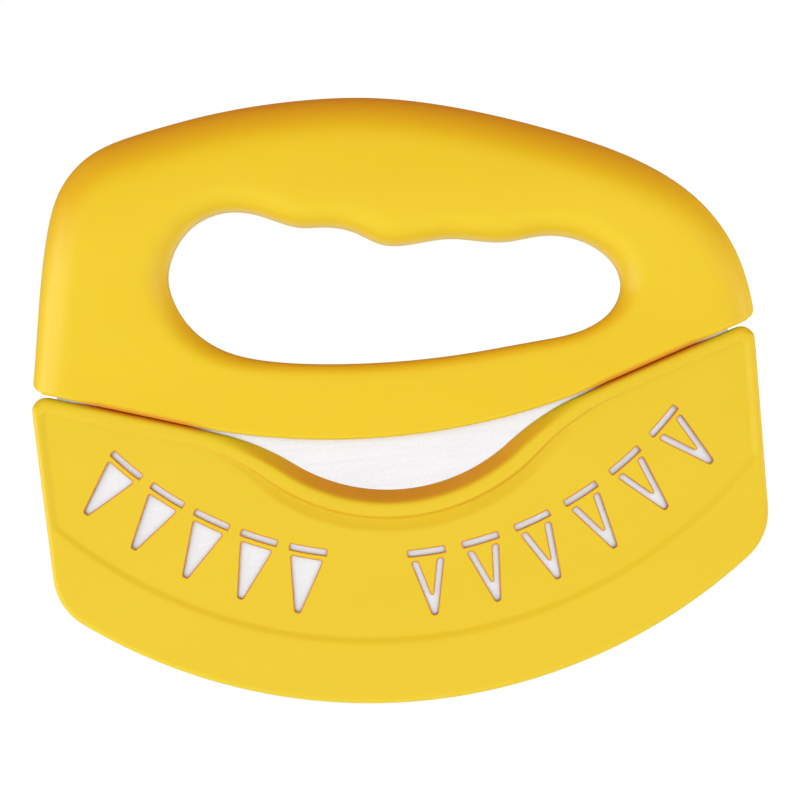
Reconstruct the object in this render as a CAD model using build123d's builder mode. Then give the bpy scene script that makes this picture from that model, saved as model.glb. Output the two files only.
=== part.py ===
from build123d import *

import math
import os

# Rocking pizza knife with its blade guard pushed on, in millimetres.
# X runs along the blade, -Y is the front, +Z is up, the cutting edge faces down.
# The origin is the lowest point of the guard, in the middle of its length.

# One overrun for every cut
overrun = 4.0

# Handle, seen from the front
handle_length = 203.0
handle_height = 96.35
handle_base_height = 74.3
underside_radius = 195.0
underside_arc_reach = 60.0
foot_corner_radius = 3.0
foot_left_reach = 101.5
foot_right_reach = 102.9
foot_extension = 52.0

# Handle, seen from the end
flange_half_thickness = 8.0
grip_half_thickness = 12.6
grip_top_half_thickness = 11.4
flange_flat_height = 90.0
grip_full_height = 142.0
grip_rounding = 10.5
finger_edge_rounding = 5.5
handle_wall = 2.4
core_step_inset = 5.9

# Finger opening
finger_length = 126.1
finger_height = 46.6
finger_shift = 2.85
finger_base_height = 95.0

# Inside the handle
rib_thickness = 1.6
rib_spacing = 24.0
rib_count = 7
rib_seam_gap = 2.0
boss_radius = 4.2
tongue_height = 0.8
tongue_thickness = 0.7
tongue_clearance = 0.1
seam_edge = 0.9

# Blade
blade_thickness = 1.2
blade_edge_thickness = 0.16
grind_width = 5.0
blade_half_length = 94.5
blade_edge_gap = 3.5
blade_corner_radius = 6.0
ear_height = 114.0
ear_corner_radius = 5.0
ear_inner_radius = 2.5
tang_gap = 1.6

# Pins through the tang
pin_radius = 1.75
pin_length = 12.4
pin_clearance = 0.05
pin_hole_clearance = 0.1
pin_chamfer = 0.3
ear_pin_reach = 81.5
ear_pin_height = 106.0
bar_pin_reach = 34.0
bar_pin_height = 85.6

# Guard, seen from the front
guard_bottom_radius = 156.7
guard_half_length = 101.75
guard_top_height = 100.0
guard_side_lean = 1.4
guard_top_corner_radius = 3.8
guard_bottom_corner_radius = 17.0
shoulder_height = 64.0
shoulder_slope = 17.74
dip_height = 59.44
dip_radius = 50.3
dip_blend_radius = 70.0

# Guard, seen from the end
guard_half_thickness = 5.5
guard_wall = 1.9
guard_edge_wall = 2.3
guard_side_rounding = 1.2
face_recess = 0.6
recess_wall_rounding = 0.5
bead_width = 4.2
bead_dip_width = 7.9
side_bead_width = 2.4
recess_corner_radius = 1.5
step_radius = 138.0
step_height = 17.5
scoop_width = 3.9
lip_depth = 1.6
cove_width = 5.0
cove_depth = 0.45
blade_side_gap = 0.35
blade_end_gap = 0.7
guide_thickness = 1.2
guide_spacing = 26.0
guide_count = 6
guide_gap = 0.15
guide_reach = 4.0

# Cut-outs in the front of the guard
slice_centre_height = 148.1
slice_inner_radius = 106.0
slice_outer_radius = 124.5
slice_height = 18.5
slice_width_angle = 5.6
slice_gap_angle = 9.0
slice_tip_width = 1.4
slice_corner_radius = 0.5
crust_width = 1.7
crust_bridge = 1.5
line_width = 1.6
line_tip_gap = 3.8
left_slice_count = 5
left_slice_start = -46.0
left_slice_pitch = 7.6
right_slice_count = 6
right_slice_start = 2.2
right_slice_pitch = 8.3

# Outline of the handle from its left foot over the top to its right foot,
# as shares of half the handle's length and of its height
handle_outline_shares = [
    (-0.991, 0.267),
    (-0.911, 0.692),
    (-0.873, 0.796),
    (-0.782, 0.897),
    (-0.634, 0.950),
    (-0.394, 0.990),
    (-0.191, 1.000),
    (0.006, 0.988),
    (0.252, 0.932),
    (0.499, 0.842),
    (0.745, 0.718),
    (0.893, 0.587),
    (0.971, 0.448),
    (1.006, 0.277),
]
left_foot_direction = (0.19, 0.98)
right_foot_direction = (0.08, -1.0)
crown_direction = (0.2, 1.0)

# Outline of the finger opening, with its finger grooves along the top,
# as shares of half the opening's length and of its height
finger_outline_shares = [
    (-1.000, 0.618),
    (-0.965, 0.783),
    (-0.870, 0.931),
    (-0.711, 1.000),
    (-0.553, 0.953),
    (-0.394, 0.865),
    (-0.291, 0.853),
    (-0.156, 0.803),
    (-0.036, 0.712),
    (0.050, 0.694),
    (0.177, 0.704),
    (0.264, 0.705),
    (0.383, 0.677),
    (0.519, 0.652),
    (0.662, 0.666),
    (0.795, 0.639),
    (0.916, 0.549),
    (0.986, 0.429),
    (1.000, 0.333),
    (0.962, 0.197),
    (0.843, 0.090),
    (0.599, 0.038),
    (0.272, 0.006),
    (0.034, 0.000),
    (-0.283, 0.022),
    (-0.591, 0.083),
    (-0.775, 0.167),
    (-0.908, 0.309),
    (-0.987, 0.509),
]

# Sizes worked out from the ones above
step_centre_height = step_height + step_radius
dip_centre_height = dip_height + dip_radius
blade_edge_radius = guard_bottom_radius - blade_edge_gap
half_blade = blade_thickness / 2


def about_y(centre_height):
    """Plane through the axis of an arc seen from the front: radius down, depth to the front."""
    return Plane(origin=(0, 0, centre_height), x_dir=(0, 0, -1), z_dir=(-1, 0, 0))


def y_axis(centre_height):
    return Axis((0, 0, centre_height), (0, 1, 0))


def moved_in(points, amount, closed):
    """Moves each point sideways, to the right of the way along the points, by one amount."""
    count = len(points)
    moved = []
    for i, (x, z) in enumerate(points):
        before = points[i - 1] if closed or i > 0 else points[i]
        after = points[(i + 1) % count] if closed or i < count - 1 else points[i]
        along = Vector(after[0] - before[0], after[1] - before[1]).normalized()
        moved.append((x + along.Y * amount, z - along.X * amount))
    return moved


def handle_points(inset):
    half = handle_length / 2
    points = [(x * half, handle_base_height + z * handle_height) for x, z in handle_outline_shares]
    return moved_in(points, inset, closed=False)


def finger_points(outset):
    half = finger_length / 2
    points = [
        (finger_shift + x * half, finger_base_height + z * finger_height)
        for x, z in finger_outline_shares
    ]
    return moved_in(points, -outset, closed=True)


def below(point, direction):
    """The point where a foot's side, carried on straight, ends below the underside."""
    reach = Vector(*direction).normalized() * foot_extension
    return (point[0] - reach.X, point[1] - reach.Y)


def handle_outline(inset):
    """Sketch of the whole handle, with both feet carried on below the underside."""
    points = handle_points(inset)
    left, right = points[0], points[-1]
    right_back = (-right_foot_direction[0], -right_foot_direction[1])
    with BuildSketch() as outline:
        with BuildLine():
            Spline(*points, tangents=(left_foot_direction, right_foot_direction))
            Polyline(right, below(right, right_back), below(left, left_foot_direction), left)
        make_face()
    return outline.sketch


def finger_outline(outset):
    with BuildSketch() as outline:
        with BuildLine():
            Spline(*finger_points(outset), periodic=True)
        make_face()
    return outline.sketch


def underside_height(reach):
    """Height of the underside where its arc ends, or on its straight stretch beyond."""
    drop = math.sqrt(underside_radius**2 - underside_arc_reach**2)
    arc_end = handle_base_height + underside_radius - drop
    return arc_end + (reach - underside_arc_reach) * underside_arc_reach / drop


def foot_region(inset):
    """Sketch of all that lies above the underside, with its two rounded corners."""
    left, right = foot_left_reach - inset, foot_right_reach - inset
    top = handle_base_height + handle_height + overrun
    arc_end = underside_height(underside_arc_reach) + inset
    with BuildSketch() as region:
        with BuildLine():
            ThreePointArc(
                (-underside_arc_reach, arc_end),
                (0, handle_base_height + inset),
                (underside_arc_reach, arc_end),
            )
            Polyline(
                (underside_arc_reach, arc_end),
                (right, underside_height(right) + inset),
                (right, top),
                (-left, top),
                (-left, underside_height(left) + inset),
                (-underside_arc_reach, arc_end),
            )
        make_face()
        sides = region.vertices().group_by(Axis.X)
        fillet([sides[0].sort_by(Axis.Y)[0], sides[-1].sort_by(Axis.Y)[0]], foot_corner_radius)
    return region.sketch


def on_front_plane(sketch, offset):
    """Places a sketch seen from the front on the plane that lies so far in front of the seam."""
    with BuildSketch(Plane.XZ.offset(offset)) as placed:
        add(sketch)
    return placed.sketch


def end_profile(inset):
    """Sketch of the front half seen from the end: slim flange below, swelling grip above."""
    flange = flange_half_thickness - inset
    grip = grip_half_thickness - inset
    crown = grip_top_half_thickness - inset
    low = handle_base_height - foot_extension
    top = handle_base_height + handle_height + overrun
    back = grip_rounding + overrun
    with BuildSketch() as profile:
        with BuildLine():
            face = Line((-flange, low), (-flange, flange_flat_height))
            shoulder = (-grip, grip_full_height)
            swell = Spline(face @ 1, shoulder, (-crown, top), tangents=((0, 1), (0, 1), crown_direction))
            Polyline(swell @ 1, (back, top), (back, low), face @ 0)
        make_face()
    return profile.sketch


def on_end_plane(sketch):
    """Places a sketch seen from the end on a plane beyond the handle's left end."""
    with BuildSketch(Plane.YZ.offset(-handle_length)) as placed:
        add(sketch)
    return placed.sketch


def handle_form():
    """Front half of the handle as a closed form with all its roundings."""
    bottom = handle_base_height - grip_rounding
    back = grip_rounding + overrun
    depth = grip_rounding + grip_half_thickness + overrun
    with BuildPart() as form:
        extrude(on_front_plane(handle_outline(0), -grip_rounding), amount=depth)
        extrude(on_end_plane(end_profile(0)), amount=handle_length + handle_length, mode=Mode.INTERSECT)
        rim = form.edges().filter_by(Axis.X, reverse=True).filter_by(Axis.Y, reverse=True)
        rim = rim.filter_by(lambda edge: edge.center().Y < 0 and edge.center().Z > bottom)
        fillet(rim, grip_rounding)
        extrude(on_front_plane(foot_region(0), -back), amount=back + depth, mode=Mode.INTERSECT)
        extrude(on_front_plane(finger_outline(0), -back), amount=back + depth, mode=Mode.SUBTRACT)
        hole = form.edges(Select.LAST).filter_by(Axis.Y, reverse=True)
        fillet(hole.filter_by(lambda edge: edge.center().Y < 0), finger_edge_rounding)
        split(bisect_by=Plane.XZ, keep=Keep.TOP)
    return form.part


def core_step(side_inset, face_inset):
    """One step of the hollow inside the front half, so far in from its sides and from its face."""
    with BuildPart() as step:
        extrude(on_front_plane(handle_outline(side_inset), 0), amount=grip_half_thickness)
        extrude(on_end_plane(end_profile(face_inset)), amount=handle_length + handle_length, mode=Mode.INTERSECT)
        extrude(on_front_plane(foot_region(side_inset), 0), amount=grip_half_thickness, mode=Mode.INTERSECT)
        extrude(on_front_plane(finger_outline(side_inset), 0), amount=grip_half_thickness, mode=Mode.SUBTRACT)
    return step.part


def pin_circles(radius):
    """Sketch of the four pins: one in each ear of the tang and two in its bar."""
    with BuildSketch() as circles:
        with Locations(
            (-ear_pin_reach, ear_pin_height),
            (-bar_pin_reach, bar_pin_height),
            (bar_pin_reach, bar_pin_height),
            (ear_pin_reach, ear_pin_height),
        ):
            Circle(radius)
    return circles.sketch


def seam_ring(start, thickness):
    """Sketch of the tongue's way round the seam: over the grip and round the finger opening."""
    with BuildSketch() as ring:
        add(handle_outline(start))
        add(handle_outline(start + thickness), mode=Mode.SUBTRACT)
        add(foot_region(handle_wall + start), mode=Mode.INTERSECT)
        add(finger_outline(start + thickness))
        add(finger_outline(start), mode=Mode.SUBTRACT)
    return ring.sketch


with BuildPart() as handle_core:
    add(core_step(handle_wall, core_step_inset))
    add(core_step(core_step_inset, handle_wall))
    with BuildSketch(Plane.XZ.offset(rib_seam_gap)):
        with Locations((0, handle_base_height + handle_height / 2)):
            with GridLocations(rib_spacing, handle_height, rib_count, 1):
                Rectangle(rib_thickness, handle_height)
    extrude(amount=grip_half_thickness, mode=Mode.SUBTRACT)
    bosses = on_front_plane(pin_circles(boss_radius), half_blade)
    extrude(bosses, amount=grip_half_thickness, mode=Mode.SUBTRACT)

with BuildPart() as handle_half:
    add(handle_form())
    add(handle_core.part, mode=Mode.SUBTRACT)
    with BuildSketch(Plane.XZ):
        with Locations((0, handle_base_height)):
            Rectangle(2 * (blade_half_length + tang_gap), 2 * (ear_height - handle_base_height))
    extrude(amount=half_blade, mode=Mode.SUBTRACT)
    extrude(
        on_front_plane(pin_circles(pin_radius + pin_clearance), 0),
        amount=pin_length / 2 + pin_clearance,
        mode=Mode.SUBTRACT,
    )

with BuildPart() as handle_front_shell:
    add(handle_half.part)
    extrude(on_front_plane(seam_ring(seam_edge, tongue_thickness), 0), amount=-tongue_height)

with BuildPart() as handle_rear_shell:
    mirror(handle_half.part, about=Plane.XZ)
    groove_edge = seam_edge - tongue_clearance
    groove = seam_ring(groove_edge, tongue_thickness + 2 * tongue_clearance)
    extrude(on_front_plane(groove, 0), amount=-tongue_height - tongue_clearance, mode=Mode.SUBTRACT)

with BuildPart() as blade:
    reach = blade_half_length
    edge_end = guard_bottom_radius - math.sqrt(blade_edge_radius**2 - reach**2)
    with BuildSketch(Plane.XZ.offset(-half_blade)) as plate:
        with BuildLine():
            ThreePointArc((-reach, edge_end), (0, blade_edge_gap), (reach, edge_end))
            Polyline((reach, edge_end), (reach, ear_height), (-reach, ear_height), (-reach, edge_end))
        make_face()
        corners = plate.vertices().group_by(Axis.Y)
        fillet(corners[0], blade_corner_radius)
        fillet(plate.vertices().group_by(Axis.Y)[-1], ear_corner_radius)
        add(finger_outline(handle_wall + tang_gap), mode=Mode.SUBTRACT)
        fillet(plate.vertices().group_by(Axis.Y)[-1].sort_by(Axis.X)[1:-1], ear_inner_radius)
        add(pin_circles(pin_radius + pin_hole_clearance), mode=Mode.SUBTRACT)
    extrude(amount=blade_thickness)
    with BuildSketch(about_y(guard_bottom_radius)):
        with BuildLine():
            Polyline(
                (blade_edge_radius - grind_width, half_blade),
                (blade_edge_radius, blade_edge_thickness / 2),
                (blade_edge_radius + overrun, blade_edge_thickness / 2),
                (blade_edge_radius + overrun, half_blade + overrun),
                (blade_edge_radius - grind_width, half_blade + overrun),
                close=True,
            )
        make_face()
    revolve(axis=y_axis(guard_bottom_radius), mode=Mode.SUBTRACT)
    split(bisect_by=Plane.XZ, keep=Keep.TOP)
    mirror(about=Plane.XZ)

with BuildPart() as tang_pins:
    extrude(on_front_plane(pin_circles(pin_radius), -pin_length / 2), amount=pin_length)
    chamfer(tang_pins.edges().filter_by(GeomType.CIRCLE), pin_chamfer)


def mouth(drop, radius, blend):
    """Sketch of the space above the guard's top edge: two straight shoulders and a round dip."""
    slope = math.radians(shoulder_slope)
    along = Vector(math.cos(slope), math.sin(slope))
    down = Vector(math.sin(slope), -math.cos(slope))
    start = Vector(0, shoulder_height - drop / math.cos(slope))
    centre = Vector(0, dip_centre_height)
    offset = start + down * blend - centre
    lean = offset.dot(along)
    run = math.sqrt(lean**2 - offset.dot(offset) + (radius + blend) ** 2) - lean
    shoulder = start + along * run
    blend_centre = shoulder + down * blend
    dip = centre + (blend_centre - centre).normalized() * radius
    halfway = blend_centre + ((shoulder + dip) / 2 - blend_centre).normalized() * blend
    far = start + along * handle_length
    with BuildSketch() as space:
        with BuildLine():
            ThreePointArc((-dip.X, dip.Y), (0, dip_centre_height - radius), (dip.X, dip.Y))
            ThreePointArc((dip.X, dip.Y), (halfway.X, halfway.Y), (shoulder.X, shoulder.Y))
            Polyline(
                (shoulder.X, shoulder.Y),
                (far.X, far.Y),
                (far.X, far.Y + overrun),
                (-far.X, far.Y + overrun),
                (-far.X, far.Y),
                (-shoulder.X, shoulder.Y),
            )
            ThreePointArc((-shoulder.X, shoulder.Y), (-halfway.X, halfway.Y), (-dip.X, dip.Y))
        make_face()
    return space.sketch


def guard_region(side, drop, dip, bottom_radius, bottom_height, top_corner, bottom_corner):
    """Sketch of the guard, or of a region inside it: round below, straight sides, dipped top."""
    lean = math.tan(math.radians(guard_side_lean))
    top = guard_top_height
    half = guard_half_length - side
    with BuildSketch() as region:
        with BuildLine():
            Polyline(
                (-half, top),
                (half, top),
                (half - lean * top, 0),
                (-half + lean * top, 0),
                close=True,
            )
        make_face()
        with Locations((0, bottom_height + bottom_radius)):
            Circle(bottom_radius, mode=Mode.INTERSECT)
        lower = region.vertices().group_by(Axis.Y)[0]
        fillet(lower, bottom_corner)
        add(mouth(drop, dip_radius + dip, dip_blend_radius - drop), mode=Mode.SUBTRACT)
        sides = region.vertices().group_by(Axis.X)
        fillet([sides[0].sort_by(Axis.Y)[-1], sides[-1].sort_by(Axis.Y)[-1]], top_corner)
    return region.sketch


def ring_cut(centre_height, points):
    """Ring cutter about an arc's axis, from points given as radius and depth."""
    with BuildPart() as cutter:
        with BuildSketch(about_y(centre_height)):
            with BuildLine():
                Polyline(*points, close=True)
            make_face()
        revolve(axis=y_axis(centre_height))
    return cutter.part


guard_outline = guard_region(
    0, 0, 0, guard_bottom_radius, 0, guard_top_corner_radius, guard_bottom_corner_radius
)
recess_outline = guard_region(
    side_bead_width,
    bead_width,
    bead_dip_width,
    step_radius,
    step_height,
    recess_corner_radius,
    recess_corner_radius,
)
cavity_outline = guard_region(
    guard_edge_wall,
    bead_width,
    bead_dip_width,
    guard_bottom_radius - guard_edge_wall,
    guard_edge_wall,
    recess_corner_radius,
    guard_bottom_corner_radius - guard_edge_wall,
)
face_depth = guard_half_thickness - face_recess
cavity_depth = face_depth - guard_wall

with BuildPart() as cove:
    add(
        ring_cut(
            dip_centre_height,
            [
                (dip_radius + bead_dip_width - overrun, face_depth - cove_depth),
                (dip_radius + bead_dip_width, face_depth - cove_depth),
                (dip_radius + bead_dip_width + cove_width, face_depth),
                (dip_radius + bead_dip_width + cove_width, face_depth + overrun),
                (dip_radius + bead_dip_width - overrun, face_depth + overrun),
            ],
        )
    )
    extrude(on_front_plane(recess_outline, 0), amount=handle_length, mode=Mode.INTERSECT)

with BuildPart() as guard_cavity:
    extrude(on_front_plane(cavity_outline, 0), amount=cavity_depth)

with BuildPart() as guide_ribs:
    with BuildSketch(Plane.XZ.offset(half_blade + guide_gap)):
        with Locations((0, guard_edge_wall)):
            with GridLocations(guide_spacing, handle_height, guide_count, 1):
                Rectangle(guide_thickness, handle_height)
        with Locations((0, step_centre_height)):
            Circle(step_radius - guide_reach, mode=Mode.SUBTRACT)
    extrude(amount=guard_half_thickness)
    add(guard_cavity.part, mode=Mode.INTERSECT)

with BuildPart() as guard_half:
    extrude(on_front_plane(guard_outline, 0), amount=guard_half_thickness)
    fillet(guard_half.edges().group_by(Axis.Y)[0], guard_side_rounding)
    add(
        ring_cut(
            dip_centre_height,
            [
                (dip_radius - overrun, lip_depth - overrun),
                (dip_radius + scoop_width + overrun, guard_half_thickness + overrun),
                (dip_radius - overrun, guard_half_thickness + overrun),
            ],
        ),
        mode=Mode.SUBTRACT,
    )
    extrude(on_front_plane(recess_outline, face_depth), amount=overrun, mode=Mode.SUBTRACT)
    brim = guard_half.edges(Select.LAST).group_by(Axis.Y)[0]
    fillet(brim, recess_wall_rounding)
    add(cove.part, mode=Mode.SUBTRACT)
    add(guard_cavity.part, mode=Mode.SUBTRACT)
    add(guide_ribs.part)
    with BuildSketch(Plane.XZ):
        with Locations((0, guard_top_height)):
            Rectangle(2 * (blade_half_length + blade_end_gap), guard_top_height)
    extrude(amount=half_blade + blade_side_gap, mode=Mode.SUBTRACT)

def ring_sector(outer, inner, angle):
    """Sketch of a curved bar below an arc's centre, which is at the sketch's origin."""
    half_angle = math.radians(angle) / 2
    side, drop = math.sin(half_angle), -math.cos(half_angle)
    with BuildSketch() as sector:
        with BuildLine():
            ThreePointArc((-outer * side, outer * drop), (0, -outer), (outer * side, outer * drop))
            Line((outer * side, outer * drop), (inner * side, inner * drop))
            ThreePointArc((inner * side, inner * drop), (0, -inner), (-inner * side, inner * drop))
            Line((-inner * side, inner * drop), (-outer * side, outer * drop))
        make_face()
    return sector.sketch


def slice_outline(hollow):
    """Sketch of one pizza slice, tip down, its crust a bar of its own; solid or as a thin line."""
    crust_end = slice_inner_radius + crust_width
    body_start = crust_end + crust_bridge
    half_width = body_start * math.sin(math.radians(slice_width_angle) / 2)
    tip = slice_tip_width / 2
    with BuildSketch() as shape:
        with BuildLine():
            Polyline(
                (-half_width, -slice_inner_radius),
                (half_width, -slice_inner_radius),
                (tip, -slice_outer_radius),
                (-tip, -slice_outer_radius),
                close=True,
            )
        make_face()
        add(ring_sector(body_start, body_start - slice_height, slice_gap_angle), mode=Mode.SUBTRACT)
        if hollow:
            with BuildLine():
                Polyline(
                    (-half_width + line_width, -body_start + overrun),
                    (half_width - line_width, -body_start + overrun),
                    (0, -slice_outer_radius + line_tip_gap),
                    close=True,
                )
            make_face(mode=Mode.SUBTRACT)
        fillet(shape.vertices(), slice_corner_radius)
        add(ring_sector(crust_end, slice_inner_radius, slice_width_angle))
    return shape.sketch


with BuildPart() as slice_cuts:
    with BuildSketch(Plane.XZ.offset(half_blade + blade_side_gap)):
        with Locations((0, slice_centre_height)):
            with PolarLocations(0, left_slice_count, left_slice_start, left_slice_count * left_slice_pitch):
                add(slice_outline(hollow=False))
            with PolarLocations(0, right_slice_count, right_slice_start, right_slice_count * right_slice_pitch):
                add(slice_outline(hollow=True))
    extrude(amount=guard_half_thickness)

with BuildPart() as guard_front_panel:
    add(guard_half.part)
    add(slice_cuts.part, mode=Mode.SUBTRACT)

with BuildPart() as guard_rear_panel:
    mirror(guard_half.part, about=Plane.XZ)

handle_front_shell.part.label = "handle_front_shell"
handle_rear_shell.part.label = "handle_rear_shell"
blade.part.label = "blade"
tang_pins.part.label = "tang_pins"
guard_front_panel.part.label = "guard_front_panel"
guard_rear_panel.part.label = "guard_rear_panel"

os.makedirs("parts", exist_ok=True)
export_step(handle_front_shell.part, "parts/handle_front_shell.step")
export_step(handle_rear_shell.part, "parts/handle_rear_shell.step")
export_step(blade.part, "parts/blade.step")
export_step(tang_pins.part, "parts/tang_pins.step")
export_step(guard_front_panel.part, "parts/guard_front_panel.step")
export_step(guard_rear_panel.part, "parts/guard_rear_panel.step")
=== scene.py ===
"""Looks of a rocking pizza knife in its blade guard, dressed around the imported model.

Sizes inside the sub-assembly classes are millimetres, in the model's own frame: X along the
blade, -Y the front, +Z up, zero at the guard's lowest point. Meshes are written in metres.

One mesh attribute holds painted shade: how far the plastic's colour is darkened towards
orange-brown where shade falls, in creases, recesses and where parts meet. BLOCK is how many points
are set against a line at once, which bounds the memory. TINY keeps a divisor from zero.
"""

import logging
import math
from dataclasses import dataclass
from enum import Enum
from typing import Sequence

import bpy
import numpy as np
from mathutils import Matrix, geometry

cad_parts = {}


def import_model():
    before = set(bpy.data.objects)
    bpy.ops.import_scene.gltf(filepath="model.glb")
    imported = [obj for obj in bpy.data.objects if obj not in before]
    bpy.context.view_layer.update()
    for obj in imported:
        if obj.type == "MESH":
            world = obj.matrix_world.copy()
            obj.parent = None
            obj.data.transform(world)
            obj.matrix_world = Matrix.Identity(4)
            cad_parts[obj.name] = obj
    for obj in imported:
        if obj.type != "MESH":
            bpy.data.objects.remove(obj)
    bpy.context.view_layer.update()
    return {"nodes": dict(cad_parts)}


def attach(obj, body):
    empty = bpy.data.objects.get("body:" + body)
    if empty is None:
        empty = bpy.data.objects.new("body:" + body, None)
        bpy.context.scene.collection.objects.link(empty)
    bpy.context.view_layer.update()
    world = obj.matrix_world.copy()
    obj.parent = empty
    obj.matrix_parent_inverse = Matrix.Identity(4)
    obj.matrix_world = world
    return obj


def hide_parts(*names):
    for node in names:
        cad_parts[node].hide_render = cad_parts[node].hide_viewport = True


MM = 0.001
# mesh attribute of painted shade: how far the plastic is darkened where shade falls
PAINTED_SHADE = "painted_shade"
BLOCK = 4096
TINY = 1e-12
LOG = logging.getLogger("pizza_knife")
Array = np.ndarray
Two = tuple[float, float]
Three = tuple[float, float, float]
Span = tuple[float, float]
WHITE: Three = (1.0, 1.0, 1.0)


# Curves and distances in the plane seen from the front


def lengths_along(line: Array) -> Array:
    """Length along an open line from its start to each of its vertices."""
    return np.concatenate([[0], np.cumsum(np.linalg.norm(np.diff(line, axis=0), axis=1))])


def read_at(t: Array, along: Array, line: Array) -> Array:
    """Points of a line at the places t, where along gives each vertex its place."""
    return np.column_stack([np.interp(t, along, line[:, k]) for k in range(2)])


def cubic_through(points: Array, count: int, ends: tuple | None = None) -> Array:
    """Smooth line through points: one cubic per span, equal slope and curvature where they meet.

    The slopes solve the usual three-term system over the chord lengths h:
    h[i] m[i-1] + 2 (h[i-1] + h[i]) m[i] + h[i-1] m[i+1] = 3 (h[i] d[i-1] + h[i-1] d[i]),
    where d are the chords' slopes. The system wraps round when the line is closed.

    Args:
        points: (n, 2) points to pass through.
        count: how many points to return.
        ends: directions at the first and last point, or None for a closed line.

    Returns:
        (count, 2) points, evenly spaced in chord length.
    """
    closed = ends is None
    knots = np.vstack([points, points[:1]]) if closed else points
    chords = np.diff(knots, axis=0)
    h = np.linalg.norm(chords, axis=1)
    d = chords / h[:, None]
    n = len(points)
    system, right = np.zeros((n, n)), np.zeros((n, 2))
    rows = np.arange(n) if closed else np.arange(1, n - 1)
    before, after = h[rows - 1], h[rows]
    system[rows, (rows - 1) % n] += after
    system[rows, rows] += 2 * (before + after)
    system[rows, (rows + 1) % n] += before
    right[rows] = 3 * (after[:, None] * d[rows - 1] + before[:, None] * d[rows])
    if not closed:
        for row, way in ((0, ends[0]), (n - 1, ends[1])):
            system[row, row] = 1
            right[row] = np.array(way) / np.linalg.norm(way)
    slopes = np.linalg.solve(system, right)
    slopes_after = np.vstack([slopes, slopes[:1]]) if closed else slopes
    at = lengths_along(knots)
    t = np.linspace(0, at[-1], count, endpoint=not closed)
    i = np.clip(np.searchsorted(at, t, side="right") - 1, 0, len(h) - 1)
    u = ((t - at[i]) / h[i])[:, None]
    hi = h[i][:, None]
    return (
        (2 * u**3 - 3 * u**2 + 1) * knots[i]
        + (u**3 - 2 * u**2 + u) * hi * slopes_after[i]
        + (3 * u**2 - 2 * u**3) * knots[i + 1]
        + (u**3 - u**2) * hi * slopes_after[i + 1]
    )


def arc(centre: Array, start: Array, end: Array, step: float) -> Array:
    """Points along the shorter arc about a centre, the step apart or less.

    Each is the centre plus the radius times (cos, sin) of angles evenly spaced between the ends.

    Args:
        centre: the arc's centre.
        start: its first point, which also gives the radius.
        end: its last point.
        step: length of a run.

    Returns:
        (n, 2) points.
    """
    centre, start, end = (np.asarray(p, float) for p in (centre, start, end))
    a = math.atan2(*(start - centre)[::-1])
    b = math.atan2(*(end - centre)[::-1])
    turn = (b - a + math.pi) % (2 * math.pi) - math.pi
    radius = float(np.linalg.norm(start - centre))
    count = max(3, int(abs(turn) * radius / step) + 2)
    angles = a + turn * np.linspace(0, 1, count)
    return centre + radius * np.column_stack([np.cos(angles), np.sin(angles)])


def fillet(corner: Array, back: Array, ahead: Array, radius: float) -> tuple[Array, Array, Array]:
    """Circle that rounds a corner.

    Its centre lies on the bisector, radius / sin(half angle) away, and it touches both sides
    radius / tan(half angle) from the corner.

    Args:
        corner: the corner.
        back: direction of one side, of any length.
        ahead: direction of the other side.
        radius: the circle's radius.

    Returns:
        The centre, and the points where it touches the first and the second side.
    """
    back, ahead = back / np.linalg.norm(back), ahead / np.linalg.norm(ahead)
    half = 0.5 * math.acos(float(np.clip(back @ ahead, -1, 1)))
    middle = (back + ahead) / np.linalg.norm(back + ahead)
    centre = corner + middle * radius / math.sin(half)
    reach = radius / math.tan(half)
    return centre, corner + back * reach, corner + ahead * reach


def rounded_polygon(points: Array, radii: Sequence[float], step: float) -> Array:
    """Closed polygon whose corners are arcs tangent to both sides.

    Args:
        points: (n, 2) corners.
        radii: one radius per corner, zero for a sharp one.
        step: spacing of points on the arcs.

    Returns:
        (m, 2) points of the closed line.
    """
    parts = []
    for i, radius in enumerate(radii):
        corner, following = points[i], points[(i + 1) % len(points)]
        if radius > 0:
            centre, start, end = fillet(corner, points[i - 1] - corner, following - corner, radius)
            parts.append(arc(centre, start, end, step))
        else:
            parts.append(corner[None])
    return np.vstack(parts)


def resampled(line: Array, step: float) -> Array:
    """A closed line with points evenly spaced along its length.

    Args:
        line: (m, 2) vertices.
        step: about how far the points lie apart.

    Returns:
        (n, 2) points, the first at the line's first vertex.
    """
    ring = np.vstack([line, line[:1]])
    along = lengths_along(ring)
    count = int(round(along[-1] / step))
    return read_at(np.linspace(0, along[-1], count, endpoint=False), along, ring)


def distance_to(points: Array, line: Array, closed: bool = True) -> tuple[Array, Array]:
    """Distance from each point to a line of short runs, and the index of its nearest vertex.

    The nearest vertex is found first, then the foot of the perpendicular on its two runs.

    Args:
        points: (m, 2) places.
        line: (n, 2) vertices of the line.
        closed: whether the line closes on itself.

    Returns:
        Distances (m,) and nearest vertices' indices (m,).
    """
    near = np.empty(len(points), int)
    for k in range(0, len(points), BLOCK):
        block = points[k : k + BLOCK]
        near[k : k + BLOCK] = np.argmin(
            (block[:, None, 0] - line[None, :, 0]) ** 2
            + (block[:, None, 1] - line[None, :, 1]) ** 2,
            axis=1,
        )
    best = np.linalg.norm(points - line[near], axis=1)
    n = len(line)
    for shift in (-1, 1):
        other = (near + shift) % n if closed else np.clip(near + shift, 0, n - 1)
        run = line[other] - line[near]
        length = np.maximum((run**2).sum(1), TINY)
        t = np.clip(((points - line[near]) * run).sum(1) / length, 0, 1)
        best = np.minimum(best, np.linalg.norm(points - line[near] - t[:, None] * run, axis=1))
    return best, near


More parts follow.
